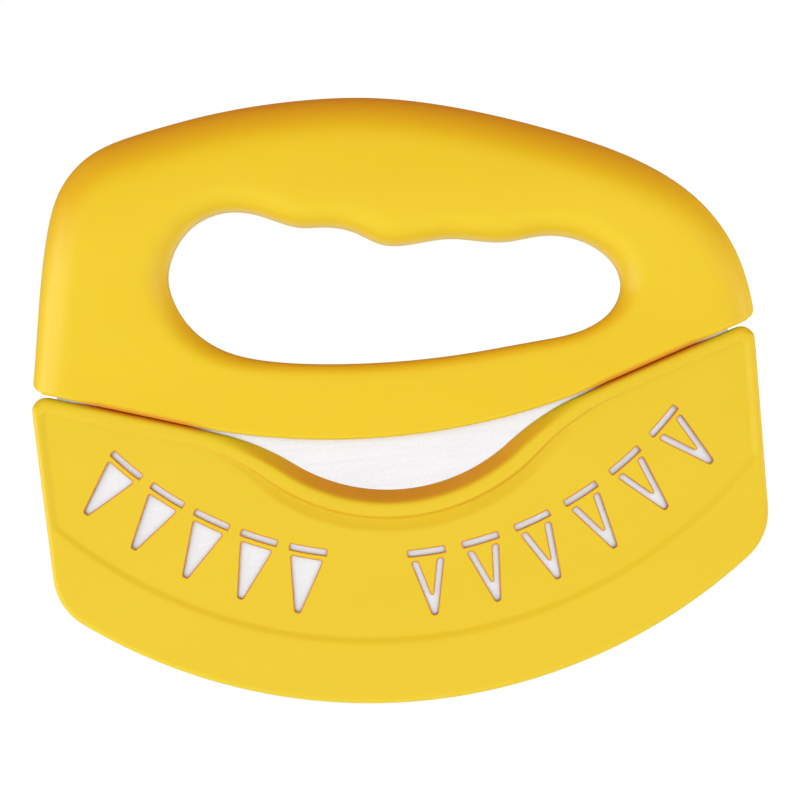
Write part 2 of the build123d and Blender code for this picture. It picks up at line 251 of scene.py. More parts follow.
def inside(points: Array, line: Array) -> Array:
    """Whether each point lies inside a closed line.

    It does where a ray to the right crosses the line an odd number of times.

    Args:
        points: (m, 2) places.
        line: (n, 2) vertices of the line.

    Returns:
        (m,) truths.
    """
    result = np.zeros(len(points), bool)
    a, b = line, np.roll(line, -1, axis=0)
    rise = np.where(b[:, 1] == a[:, 1], TINY, b[:, 1] - a[:, 1])
    for k in range(0, len(points), BLOCK):
        x, z = points[k : k + BLOCK, 0, None], points[k : k + BLOCK, 1, None]
        over = (a[None, :, 1] > z) != (b[None, :, 1] > z)
        cross = a[:, 0] + (z - a[:, 1]) * (b[:, 0] - a[:, 0]) / rise
        result[k : k + BLOCK] = (over & (x < cross)).sum(1) % 2 == 1
    return result


def depth_inside(points: Array, line: Array) -> tuple[Array, Array]:
    """Distance to a closed line, negative outside it, and the index of its nearest vertex."""
    distance, near = distance_to(points, line)
    return np.where(inside(points, line), distance, -distance), near


def boxed(points: Array, shape: Array, margin: float) -> Array:
    """Whether each point lies in a shape's bounding box, widened by a margin."""
    return np.all((points > shape.min(0) - margin) & (points < shape.max(0) + margin), axis=1)


def distance_to_shapes(points: Array, shapes: list[Array], reach: float) -> Array:
    """Distance to the nearest of some closed shapes, or infinity beyond the reach of all.

    Args:
        points: (m, 2) places.
        shapes: the closed lines.
        reach: how far from a shape's bounding box the distance still matters.

    Returns:
        (m,) distances.
    """
    result = np.full(len(points), np.inf)
    for shape in shapes:
        close = boxed(points, shape, reach)
        result[close] = np.minimum(result[close], distance_to(points[close], shape)[0])
    return result


def in_shapes(points: Array, shapes: list[Array]) -> Array:
    """Whether each point lies inside one of some closed shapes.

    Args:
        points: (m, 2) places.
        shapes: closed lines.

    Returns:
        (m,) truths.
    """
    result = np.zeros(len(points), bool)
    for shape in shapes:
        close = boxed(points, shape, 0.0)
        result[close] |= inside(points[close], shape)
    return result


def outward(line: Array) -> Array:
    """Unit normals of a closed line, pointing out of the area that it encloses.

    Each is the way between a vertex's two neighbours, turned by a right angle. The enclosed
    area's sign says which way that is.

    Args:
        line: (n, 2) vertices.

    Returns:
        (n, 2) unit vectors.
    """
    along = np.roll(line, -1, axis=0) - np.roll(line, 1, axis=0)
    normal = np.column_stack([along[:, 1], -along[:, 0]])
    normal /= np.linalg.norm(normal, axis=1)[:, None]
    area = (line[:, 0] * np.roll(line[:, 1], -1) - np.roll(line[:, 0], -1) * line[:, 1]).sum()
    return normal if area > 0 else -normal


def smoothstep(low: Array | float, high: Array | float, value: Array) -> Array:
    """Cubic rise 3 t t - 2 t t t from 0 at low to 1 at high."""
    t = np.clip((value - low) / (high - low), 0, 1)
    return t * t * (3 - 2 * t)


def edge_drop(
    distance: Array, width: Array | float, depth: Array | float, power: float = 2.0
) -> Array:
    """How far a rounded edge falls: depth (1 - sqrt(1 - (1 - distance / width) ** power))."""
    t = np.clip(1 - distance / width, 0, 1)
    return depth * (1 - np.sqrt(np.clip(1 - t**power, 0, 1)))


def mesh_piece(name: str, vertices: Array, faces: Array, crease_angle: float) -> bpy.types.Object:
    """Makes an object at the origin from vertices in millimetres, smooth but for creases.

    Args:
        name: the object's name.
        vertices: (n, 3) places in millimetres.
        faces: (m, 3) or (m, 4) vertex indices, counter-clockwise seen from outside.
        crease_angle: edges that turn by more degrees than this stay sharp.

    Returns:
        The linked object.
    """
    mesh = bpy.data.meshes.new(name)
    corners = faces.shape[1]
    mesh.vertices.add(len(vertices))
    mesh.vertices.foreach_set("co", (vertices * MM).astype(np.float32).ravel())
    mesh.loops.add(faces.size)
    mesh.loops.foreach_set("vertex_index", faces.astype(np.int32).ravel())
    mesh.polygons.add(len(faces))
    mesh.polygons.foreach_set("loop_start", np.arange(0, faces.size, corners, dtype=np.int32))
    mesh.update(calc_edges=True)
    mesh.validate()
    mesh.shade_smooth()
    mesh.set_sharp_from_angle(angle=math.radians(crease_angle))
    piece = bpy.data.objects.new(name, mesh)
    bpy.context.scene.collection.objects.link(piece)
    return piece


# Shader expressions


class Value:
    """A number that a node gives, on which Python's operators add Math nodes."""

    def __init__(self, shade: "Shade", socket: bpy.types.NodeSocket) -> None:
        """Wraps one output socket of a material's tree."""
        self.shade = shade
        self.socket = socket

    def _math(self, operation: str, first: object, second: object) -> "Value":
        """Adds one Math node for two inputs, numbers or values."""
        return self.shade.value("ShaderNodeMath", {"operation": operation}, {0: first, 1: second})

    def __add__(self, other: object) -> "Value":
        """Sum."""
        return self._math("ADD", self, other)

    __radd__ = __add__

    def __sub__(self, other: object) -> "Value":
        """Difference."""
        return self._math("SUBTRACT", self, other)

    def __rsub__(self, other: object) -> "Value":
        """Difference from a number."""
        return self._math("SUBTRACT", other, self)

    def __mul__(self, other: object) -> "Value":
        """Product."""
        return self._math("MULTIPLY", self, other)

    __rmul__ = __mul__

    def __truediv__(self, other: object) -> "Value":
        """Quotient."""
        return self._math("DIVIDE", self, other)

    def clipped(self) -> "Value":
        """The value held between 0 and 1."""
        return self.shade.value("ShaderNodeClamp", {}, {"Value": self})

    def ramp(self, slope: float, start: float) -> "Value":
        """The value times a slope, plus a start, held between 0 and 1."""
        return (self * slope + start).clipped()

    def contrasted(self, strength: float) -> "Value":
        """The value spread about 0.5 by a strength above 1, and held between 0 and 1."""
        return self.ramp(strength, (1 - strength) / 2)


class Shade:
    """A material or a world under construction, and its node tree."""

    def __init__(self, owner: bpy.types.Material | bpy.types.World) -> None:
        """Starts with an empty tree.

        Args:
            owner: the material or world that the nodes belong to.
        """
        self.owner = owner
        owner.use_nodes = True
        self.tree = owner.node_tree
        self.tree.nodes.clear()

    def node(
        self, kind: str, settings: dict | None = None, inputs: dict | None = None
    ) -> bpy.types.Node:
        """Adds a node, sets its settings first and then its sockets.

        Args:
            kind: the node's type.
            settings: its properties, such as a Math node's operation.
            inputs: socket name or index to a number, colour, Value or output socket.

        Returns:
            The node.
        """
        node = self.tree.nodes.new(kind)
        for key, setting in (settings or {}).items():
            setattr(node, key, setting)
        for key, given in (inputs or {}).items():
            socket = node.inputs[key]
            if isinstance(given, Value):
                given = given.socket
            if isinstance(given, bpy.types.NodeSocket):
                self.tree.links.new(given, socket)
            else:
                socket.default_value = given
        return node

    def value(self, kind: str, settings: dict, inputs: dict, output: int | str = 0) -> Value:
        """Adds a node and wraps one of its outputs."""
        return Value(self, self.node(kind, settings, inputs).outputs[output])

    def noise(self, place: bpy.types.NodeSocket, scale: float, detail: float = 2.0) -> Value:
        """Noise about 0.5 at so many lumps to a metre."""
        inputs = {"Vector": place, "Scale": scale, "Detail": detail, "Roughness": 0.5}
        return self.value("ShaderNodeTexNoise", {}, inputs, "Fac")

    def mixed(self, mask: Value, first: object, second: object) -> bpy.types.NodeSocket:
        """Colour that runs from the first to the second as the mask rises.

        Args:
            mask: the share of the second, 0 to 1.
            first: colour as three numbers, or a socket.
            second: the same.

        Returns:
            The colour's socket.
        """
        given = {6: first, 7: second, "Factor": mask}
        inputs = {k: (*v, 1.0) if isinstance(v, tuple) else v for k, v in given.items()}
        return self.node("ShaderNodeMix", {"data_type": "RGBA"}, inputs).outputs[2]

    def place(self, stretch: Three | None = None) -> bpy.types.NodeSocket:
        """Object coordinates, stretched along the axes if a stretch is given.

        Args:
            stretch: factor along each axis.

        Returns:
            The socket that carries them.
        """
        coordinates = self.node("ShaderNodeTexCoord").outputs["Object"]
        if stretch is None:
            return coordinates
        inputs = {"Vector": coordinates, "Scale": stretch}
        return self.node("ShaderNodeMapping", {}, inputs).outputs[0]

    def finish(self, surface: bpy.types.NodeSocket) -> bpy.types.Material | bpy.types.World:
        """Joins the surface to the output and hands the owner over.

        Args:
            surface: output of the last shader.

        Returns:
            The finished material or world.
        """
        world = isinstance(self.owner, bpy.types.World)
        kind = "ShaderNodeOutputWorld" if world else "ShaderNodeOutputMaterial"
        self.node(kind, {}, {"Surface": surface})
        return self.owner

    def relief(
        self, height: Value, distance: float, strength: float, inputs: dict
    ) -> bpy.types.Material:
        """Finishes a material with a Principled shader over a bump.

        Args:
            height: the bump's height, 0 to 1.
            distance: what a height of 1 stands for, in metres.
            strength: the bump's strength.
            inputs: the shader's other sockets.

        Returns:
            The material.
        """
        relief = {"Strength": strength, "Distance": distance, "Height": height}
        bump = self.node("ShaderNodeBump", {}, relief)
        shader = self.node("ShaderNodeBsdfPrincipled", {}, {**inputs, "Normal": bump.outputs[0]})
        return self.finish(shader.outputs[0])


@dataclass(frozen=True)
class MouldedPlastic:
    """Satin injection-moulded plastic: even pigment, faint flow marks, a fine spark-eroded grain.

    Scales are lumps to a metre. Painted shade: an orange-brown that darkens the colour as far as
    the shade attribute says, where shade falls.
    """

    name: str
    deep: Three
    pale: Three
    roughness: float
    # orange-brown of painted shade, where shade falls in creases and where parts meet
    painted_shade_colour: Three = (0.62, 0.20, 0.006)
    roughness_spread: float = 0.10
    flow_scale: float = 28.0
    flow_stretch: Three = (0.4, 1.0, 1.6)
    flow_contrast: float = 1.6
    cloud_scale: float = 160.0
    grain_scale: float = 2600.0
    grain_height: float = 0.000012

    def material(self) -> bpy.types.Material:
        """Builds the plastic: flow marks in its colour with painted shade over them, clouds in its
        roughness, grain in relief.

        Returns:
            The material.
        """
        shade = Shade(bpy.data.materials.new(self.name))
        place = shade.place()
        flow = shade.noise(shade.place(self.flow_stretch), self.flow_scale, detail=3.0)
        grain = shade.noise(place, self.grain_scale)
        cloud = shade.noise(place, self.cloud_scale)
        colour = shade.mixed(flow.contrasted(self.flow_contrast), self.deep, self.pale)
        # painted shade: the attribute darkens the colour towards orange-brown where shade falls
        painted_shade = shade.value("ShaderNodeAttribute", {"attribute_name": PAINTED_SHADE}, {}, "Fac")
        inputs = {
            "Base Color": shade.mixed(painted_shade, colour, self.painted_shade_colour),
            "Roughness": self.roughness + (cloud - 0.5) * self.roughness_spread,
            "IOR": 1.46,
            "Subsurface Weight": 0.10,
            "Subsurface Radius": (1.0, 0.45, 0.08),
            "Subsurface Scale": 0.0015,
        }
        return shade.relief(grain, self.grain_height, strength=1.0, inputs=inputs)


@dataclass(frozen=True)
class GroundSteel:
    """Stainless sheet with fine grinding lines that run one way, the axis of the least stretch.

    Scales are lumps to a metre. The shares say how much of the colour's change each noise makes.
    """

    name: str
    deep: Three
    pale: Three
    stretch: Three
    roughness: float = 0.30
    line_scale: float = 900.0
    line_height: float = 0.000006
    line_share: float = 0.4
    line_roughness: float = 0.10
    cloud_scale: float = 45.0
    cloud_share: float = 0.2
    cloud_roughness: float = 0.16
    speck_scale: float = 1500.0
    speck_share: float = 0.4
    contrast: float = 2.4

    def material(self) -> bpy.types.Material:
        """Builds the steel: all three noises vary its tone, its lines stand in faint relief.

        Returns:
            The material.
        """
        shade = Shade(bpy.data.materials.new(self.name))
        lines = shade.noise(shade.place(self.stretch), self.line_scale, detail=4.0)
        cloud = shade.noise(shade.place(), self.cloud_scale, detail=3.0)
        speck = shade.noise(shade.place(), self.speck_scale, detail=1.0)
        mask = lines * self.line_share + cloud * self.cloud_share + speck * self.speck_share
        wear = (cloud - 0.5) * self.cloud_roughness
        inputs = {
            "Base Color": shade.mixed(mask.contrasted(self.contrast), self.deep, self.pale),
            "Metallic": 1.0,
            "Roughness": self.roughness + wear + (lines - 0.5) * self.line_roughness,
        }
        return shade.relief(lines, self.line_height, strength=0.7, inputs=inputs)


HANDLE_PLASTIC = MouldedPlastic(
    "handle_plastic", deep=(0.735, 0.685, 0.022), pale=(0.755, 0.710, 0.027), roughness=0.39
)
GUARD_PLASTIC = MouldedPlastic(
    "guard_plastic", deep=(0.715, 0.685, 0.032), pale=(0.735, 0.710, 0.038), roughness=0.42
)
BLADE_STEEL = GroundSteel(
    "blade_steel", deep=(0.86, 0.85, 0.88), pale=(0.99, 0.985, 0.99), stretch=(0.06, 1.0, 1.0)
)
PIN_STEEL = GroundSteel(
    "pin_steel",
    deep=(0.50, 0.50, 0.52),
    pale=(0.66, 0.66, 0.68),
    stretch=(1.0, 0.1, 1.0),
    roughness=0.36,
)


def mark_painted_shade(piece: bpy.types.Object, shares: Array) -> None:
    """Stores painted shade: how far the plastic at each vertex is darkened, where shade falls.

    Args:
        piece: the piece.
        shares: (n,) numbers from 0, no painted shade, to 1, the darkest.
    """
    held = piece.data.attributes.new(PAINTED_SHADE, "FLOAT", "POINT")
    held.data.foreach_set("value", np.clip(shares, 0, 1).astype(np.float32))


class Side(Enum):
    """Which half a piece is, by the way that its outer face looks."""

    FRONT = -1
    REAR = 1

    @property
    def word(self) -> str:
        """The side's name as the pieces have it."""
        return self.name.lower()

    def outwards(self, faces: Array) -> Array:
        """Faces made for the front, turned over for the rear."""
        return faces if self is Side.FRONT else faces[:, ::-1]


# The handle


@dataclass
class Handle:
    """The looped grip: two shells, empty within, that meet along a seam round its middle.

    A Span gives the two places between which something sets in. The outline's shares are of
    half the length and of the height, the opening's of half its length and of its height.
    """

    length: float = 203.0
    height: float = 96.35
    base_height: float = 74.3
    underside_radius: float = 195.0
    underside_arc_reach: float = 60.0
    foot_corner_radius: float = 3.0
    opening_length: float = 126.1
    opening_height: float = 46.6
    opening_shift: float = 2.85
    opening_base_height: float = 95.0
    flange_half_thickness: float = 8.0
    grip_half_thickness: float = 12.5
    grip_top_half_thickness: float = 11.6
    flange_flat_height: float = 90.0
    grip_full_height: float = 142.0
    top_fall_beyond: float = 12.0
    side_rounding: float = 11.0
    top_rounding_more: float = 3.0
    side_roundness: float = 2.5
    underside_rounding: float = 1.1
    opening_rounding: float = 5.6
    opening_left_more: float = 2.2
    opening_top_more: float = 2.6
    opening_low_less: float = 2.0
    opening_left_span: Span = (-20.0, -56.0)
    opening_low_span: Span = (112.0, 99.0)
    opening_roundness: float = 2.3
    opening_depth_share: float = 0.9
    opening_depth_most: float = 7.0
    crown: float = 0.9
    crown_span: Span = (96.0, 120.0)
    seam_inset: float = 0.22
    seam_depth: float = 0.25
    seam_gap: float = 0.01
    crease_angle: float = 50.0
    left_foot_way: Two = (0.19, 0.98)
    right_foot_way: Two = (0.08, -1.0)
    foot_runs: tuple[float, float, int] = (40.0, 0.5, 60)
    foot_way_count: int = 40
    underside_reach_share: float = 0.6
    corner_step: float = 0.2
    ray_centre: Two = (2.0, 20.0)
    ray_outer_share: float = 0.6
    met_start: Span = (48.0, 60.0)
    met_end: Span = (82.0, 92.0)
    # painted shade along the underside where the guard meets it, fainter round the opening and
    # along the top
    underside_shade: float = 0.25
    underside_shade_span: Span = (0.1, 0.8)
    met_shade: float = 0.65
    met_shade_wider: float = 0.8
    rim_shade: float = 0.16
    rim_span: Span = (1.0, 6.0)
    top_rim_span: Span = (4.0, 11.0)
    top_rim_heights: Span = (125.0, 150.0)
    upper_count: int = 1600
    underside_count: int = 1200
    opening_count: int = 2400
    ray_count: int = 6001
    around_count: int = 860
    across_count: int = 100
    outline_shares: tuple = (
        (-0.991, 0.267),
        (-0.911, 0.692),
        (-0.873, 0.796),
        (-0.782, 0.897),
        (-0.634, 0.950),
        (-0.394, 0.990),
        (-0.191, 1.000),
        (0.006, 0.988),
        (0.252, 0.932),
        (0.499, 0.842),
        (0.745, 0.718),
        (0.893, 0.587),
        (0.971, 0.448),
        (1.006, 0.277),
    )
    opening_shares: tuple = (
        (-1.000, 0.618),
        (-0.965, 0.783),
        (-0.870, 0.931),
        (-0.711, 1.000),
        (-0.553, 0.953),
        (-0.394, 0.865),
        (-0.291, 0.853),
        (-0.156, 0.803),
        (-0.036, 0.712),
        (0.050, 0.694),
        (0.177, 0.704),
        (0.264, 0.705),
        (0.383, 0.677),
        (0.519, 0.652),
        (0.662, 0.666),
        (0.795, 0.639),
        (0.916, 0.549),
        (0.986, 0.429),
        (1.000, 0.333),
        (0.962, 0.197),
        (0.843, 0.090),
        (0.599, 0.038),
        (0.272, 0.006),
        (0.034, 0.000),
        (-0.283, 0.022),
        (-0.591, 0.083),
        (-0.775, 0.167),
        (-0.908, 0.309),
        (-0.987, 0.509),
    )

    def upper_line(self) -> Array:
        """Outline from the left foot over the crown to the right foot.

        A smooth curve through the outline's points, carried on straight past both feet.

        Returns:
            (n, 2) points.
        """
        shares = np.array(self.outline_shares)
        points = np.column_stack(
            [shares[:, 0] * self.length / 2, self.base_height + shares[:, 1] * self.height]
        )
        left_way, right_way = np.array(self.left_foot_way), np.array(self.right_foot_way)
        line = cubic_through(points, self.upper_count, (left_way, right_way))
        runs = np.linspace(*self.foot_runs)[:, None]
        left = line[0] - runs * left_way / np.linalg.norm(left_way)
        right = line[-1] + runs[::-1] * right_way / np.linalg.norm(right_way)
        return np.vstack([left, line, right])

    def underside_line(self) -> Array:
        """Underside from left to right: an arc in the middle, straight and tangent beyond it.

        Its height is the base's, plus the arc's rise up to its reach, plus a slope beyond it.

        Returns:
            (n, 2) points.
        """
        end = self.length * self.underside_reach_share
        x = np.linspace(-end, end, self.underside_count)
        radius, reach = self.underside_radius, self.underside_arc_reach
        fall = math.sqrt(radius**2 - reach**2)
        inner = radius - np.sqrt(radius**2 - np.minimum(np.abs(x), reach) ** 2)
        outer = np.maximum(np.abs(x) - reach, 0) * reach / fall
        return np.column_stack([x, self.base_height + inner + outer])

    def opening_line(self) -> Array:
        """Closed outline of the finger opening, with its finger grooves.

        Returns:
            (n, 2) points of a smooth curve through the opening's points.
        """
        shares = np.array(self.opening_shares)
        points = np.column_stack(
            [
                self.opening_shift + shares[:, 0] * self.opening_length / 2,
                self.opening_base_height + shares[:, 1] * self.opening_height,
            ]
        )
        return cubic_through(points, self.opening_count)

    def outline(self) -> Array:
        """Closed outer outline: the upper line, the underside and two rounded foot corners.

        Returns:
            (n, 2) points.
        """
        upper, under = self.upper_line(), self.underside_line()
        above = upper[:, 1] > np.interp(upper[:, 0], under[:, 0], under[:, 1])
        upper = upper[above]
        within = (under[:, 0] > upper[0, 0]) & (under[:, 0] < upper[-1, 0])
        under = under[within][::-1]
        left_foot, right_foot, radius = upper[0], upper[-1], self.foot_corner_radius
        n, step = self.foot_way_count, self.corner_step
        centre, right_top, right_low = fillet(
            right_foot, upper[-n] - right_foot, under[n] - under[0], radius
        )
        right = arc(centre, right_top, right_low, step)
        centre, left_top, left_low = fillet(
            left_foot, upper[n] - left_foot, under[-1 - n] - under[-1], radius
        )
        left = arc(centre, left_low, left_top, step)
        kept = np.ones(len(upper), bool)
        for foot, top in ((left_foot, left_top), (right_foot, right_top)):
            kept &= np.linalg.norm(upper - foot, axis=1) > np.linalg.norm(top - foot)
        between = (under[:, 0] < right_low[0]) & (under[:, 0] > left_low[0])
        return np.vstack([upper[kept], right, under[between], left])

    def half_thickness(self, z: Array) -> Array:
        """Half thickness by height: even on the flange, then a swell, then a slight fall.

        Args:
            z: heights.

        Returns:
            Half thickness at each.
        """
        rise = smoothstep(self.flange_flat_height, self.grip_full_height, z)
        top = self.base_height + self.height
        fall = smoothstep(self.grip_full_height, top + self.top_fall_beyond, z)
        swell = self.grip_half_thickness - self.flange_half_thickness
        loss = self.grip_half_thickness - self.grip_top_half_thickness
        return self.flange_half_thickness + swell * rise - loss * fall

    def depth(self, points: Array) -> Array:
        """How far the front stands out from the seam at each place.

        The half thickness, less the rounding along the outer edge, less the small one along the
        underside, less the one round the opening, less a slight crown between the edges.

        Args:
            points: (m, 2) places seen from the front.

        Returns:
            (m,) depths in millimetres.
        """
        upper, opening = self.upper_line(), self.opening_line()
        thickness = self.half_thickness(points[:, 1])
        to_side, near_side = distance_to(points, upper, closed=False)
        to_under, _ = distance_to(points, self.underside_line(), closed=False)
        to_opening, near = distance_to(points, opening)
        along = np.gradient(upper, axis=0)
        upness = np.clip(along[:, 0] / np.linalg.norm(along, axis=1), 0, 1)[near_side]
        side_width = self.side_rounding + self.top_rounding_more * upness**2
        leftness = smoothstep(*self.opening_left_span, opening[near][:, 0])
        lowness = smoothstep(*self.opening_low_span, opening[near][:, 1])
        opening_width = (
            self.opening_rounding
            + self.opening_left_more * leftness
            + self.opening_top_more * (1 - lowness) * (1 - leftness)
            - self.opening_low_less * lowness
        )
        opening_depth = opening_width * self.opening_depth_share
        opening_depth = np.minimum(opening_depth, self.opening_depth_most)
        across = to_side / (to_side + to_opening)
        crown = self.crown * (2 * across - 1) ** 2 * smoothstep(*self.crown_span, points[:, 1])
        return (
            thickness
            - crown
            - edge_drop(to_side, side_width, thickness - crown, self.side_roundness)
            - edge_drop(to_under, self.underside_rounding, self.underside_rounding)
            - edge_drop(to_opening, opening_width, opening_depth, self.opening_roundness)
        )

    def rays(self) -> tuple[Array, Array]:
        """Matching points of the outer outline and of the opening, round the loop.

        Both are read at the same angles about the opening's middle, in a space flattened to the
        opening's proportions, with the angles spread so that the steps along both are even.

        Returns:
            Points of the outer outline and of the opening, each (around_count, 2).
        """
        centre = np.array([self.opening_shift, self.opening_base_height]) + self.ray_centre
        scale = np.array([self.opening_length, self.opening_height]) / 2
        read = []
        for line in (self.outline(), self.opening_line()):
            flat = (line - centre) / scale
            angle = np.unwrap(np.arctan2(flat[:, 1], flat[:, 0]))
            if angle[-1] < angle[0]:
                line, angle = line[::-1], angle[::-1]
            order = np.argsort(angle % (2 * math.pi))
            turned, line = (angle % (2 * math.pi))[order], line[order]
            turned = np.concatenate([turned[-1:] - 2 * math.pi, turned, turned[:1] + 2 * math.pi])
            read.append((turned, np.vstack([line[-1:], line, line[:1]])))
        fine = np.linspace(0, 2 * math.pi, self.ray_count)
        outer, inner = (lengths_along(read_at(fine, turned, line)) for turned, line in read)
        share = self.ray_outer_share
        even = share * outer / outer[-1] + (1 - share) * inner / inner[-1]
        chosen = np.interp(np.arange(self.around_count) / self.around_count, even, fine)
        outer, inner = (read_at(chosen, turned, line) for turned, line in read)
        return outer, inner

    def shell(self, side: Side) -> bpy.types.Object:
        """One half as a closed ring of grid faces.

        Round the ring the grid follows the rays. Across it, a ray's share t runs as
        (1 - cos(pi s)) / 2 from the outer outline to the opening, at the depth above; rows at
        the seam, set in a little, close it behind.

        Args:
            side: which half.

        Returns:
            The shell's object.
        """
        outer, inner = self.rays()
        shares = (1 - np.cos(np.pi * np.linspace(0, 1, self.across_count))) / 2
        grid = outer[:, None] + (inner - outer)[:, None] * shares[None, :, None]
        depth = self.depth(grid.reshape(-1, 2)).reshape(grid.shape[:2])
        depth = np.maximum(depth, self.seam_depth)
        outer_seam = outer - outward(outer) * self.seam_inset
        inner_seam = inner + outward(inner) * self.seam_inset
        rims = [np.stack([outer_seam, outer], axis=1), np.stack([inner, inner_seam], axis=1)]
        plan = np.concatenate([rims[0], grid, rims[1]], axis=1)
        low = np.full((len(outer), 1), self.seam_depth)
        least = np.full((len(outer), 1), self.seam_gap)
        away = np.concatenate([least, low, depth, low, least], axis=1) * side.value
        vertices = np.stack([plan[..., 0], away, plan[..., 1]], axis=-1)
        rings, steps = away.shape
        index = np.arange(rings * steps).reshape(rings, steps)
        ahead, right = np.roll(index, -1, axis=0), np.roll(index, -1, axis=1)
        corner = np.roll(ahead, -1, axis=1)
        faces = side.outwards(np.stack([index, right, corner, ahead], axis=-1).reshape(-1, 4))
        piece = mesh_piece(
            f"handle_{side.word}_skin", vertices.reshape(-1, 3), faces, self.crease_angle
        )
        # painted shade, stored at each vertex
        mark_painted_shade(piece, self.painted_shade_shares(plan.reshape(-1, 2)))
        return piece

    def painted_shade_shares(self, points: Array) -> Array:
        """Painted shade: along the underside's edge, most where the guard meets it, less round the
        opening and along the top.

        Args:
            points: (m, 2) places seen from the front.

        Returns:
            (m,) shares from 0 to 1.
        """
        to_under, _ = distance_to(points, self.underside_line(), closed=False)
        reach = np.abs(points[:, 0])
        met = smoothstep(*self.met_start, reach) * (1 - smoothstep(*self.met_end, reach))
        from_here, to_here = self.underside_shade_span
        edge = 1 - smoothstep(from_here, to_here + self.met_shade_wider * met, to_under)
        under = (self.underside_shade + self.met_shade * met) * edge
        to_opening, _ = distance_to(points, self.opening_line())
        to_side, _ = distance_to(points, self.upper_line(), closed=False)
        high = smoothstep(*self.top_rim_heights, points[:, 1])
        rim = 1 - smoothstep(*self.rim_span, to_opening)
        top_rim = high * (1 - smoothstep(*self.top_rim_span, to_side))
        return np.maximum(under, self.rim_shade * np.maximum(rim, top_rim))

    def build(self) -> None:
        """Makes both shells, lets them ride on the knife and stand for their nodes."""
        plastic = HANDLE_PLASTIC.material()
        for side, node in ((Side.FRONT, "handle_front_shell"), (Side.REAR, "handle_rear_shell")):
            piece = self.shell(side)
            piece.data.materials.append(plastic)
            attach(piece, "knife")
            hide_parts(node)
            LOG.info("%s: %d faces", piece.name, len(piece.data.polygons))


# The guard


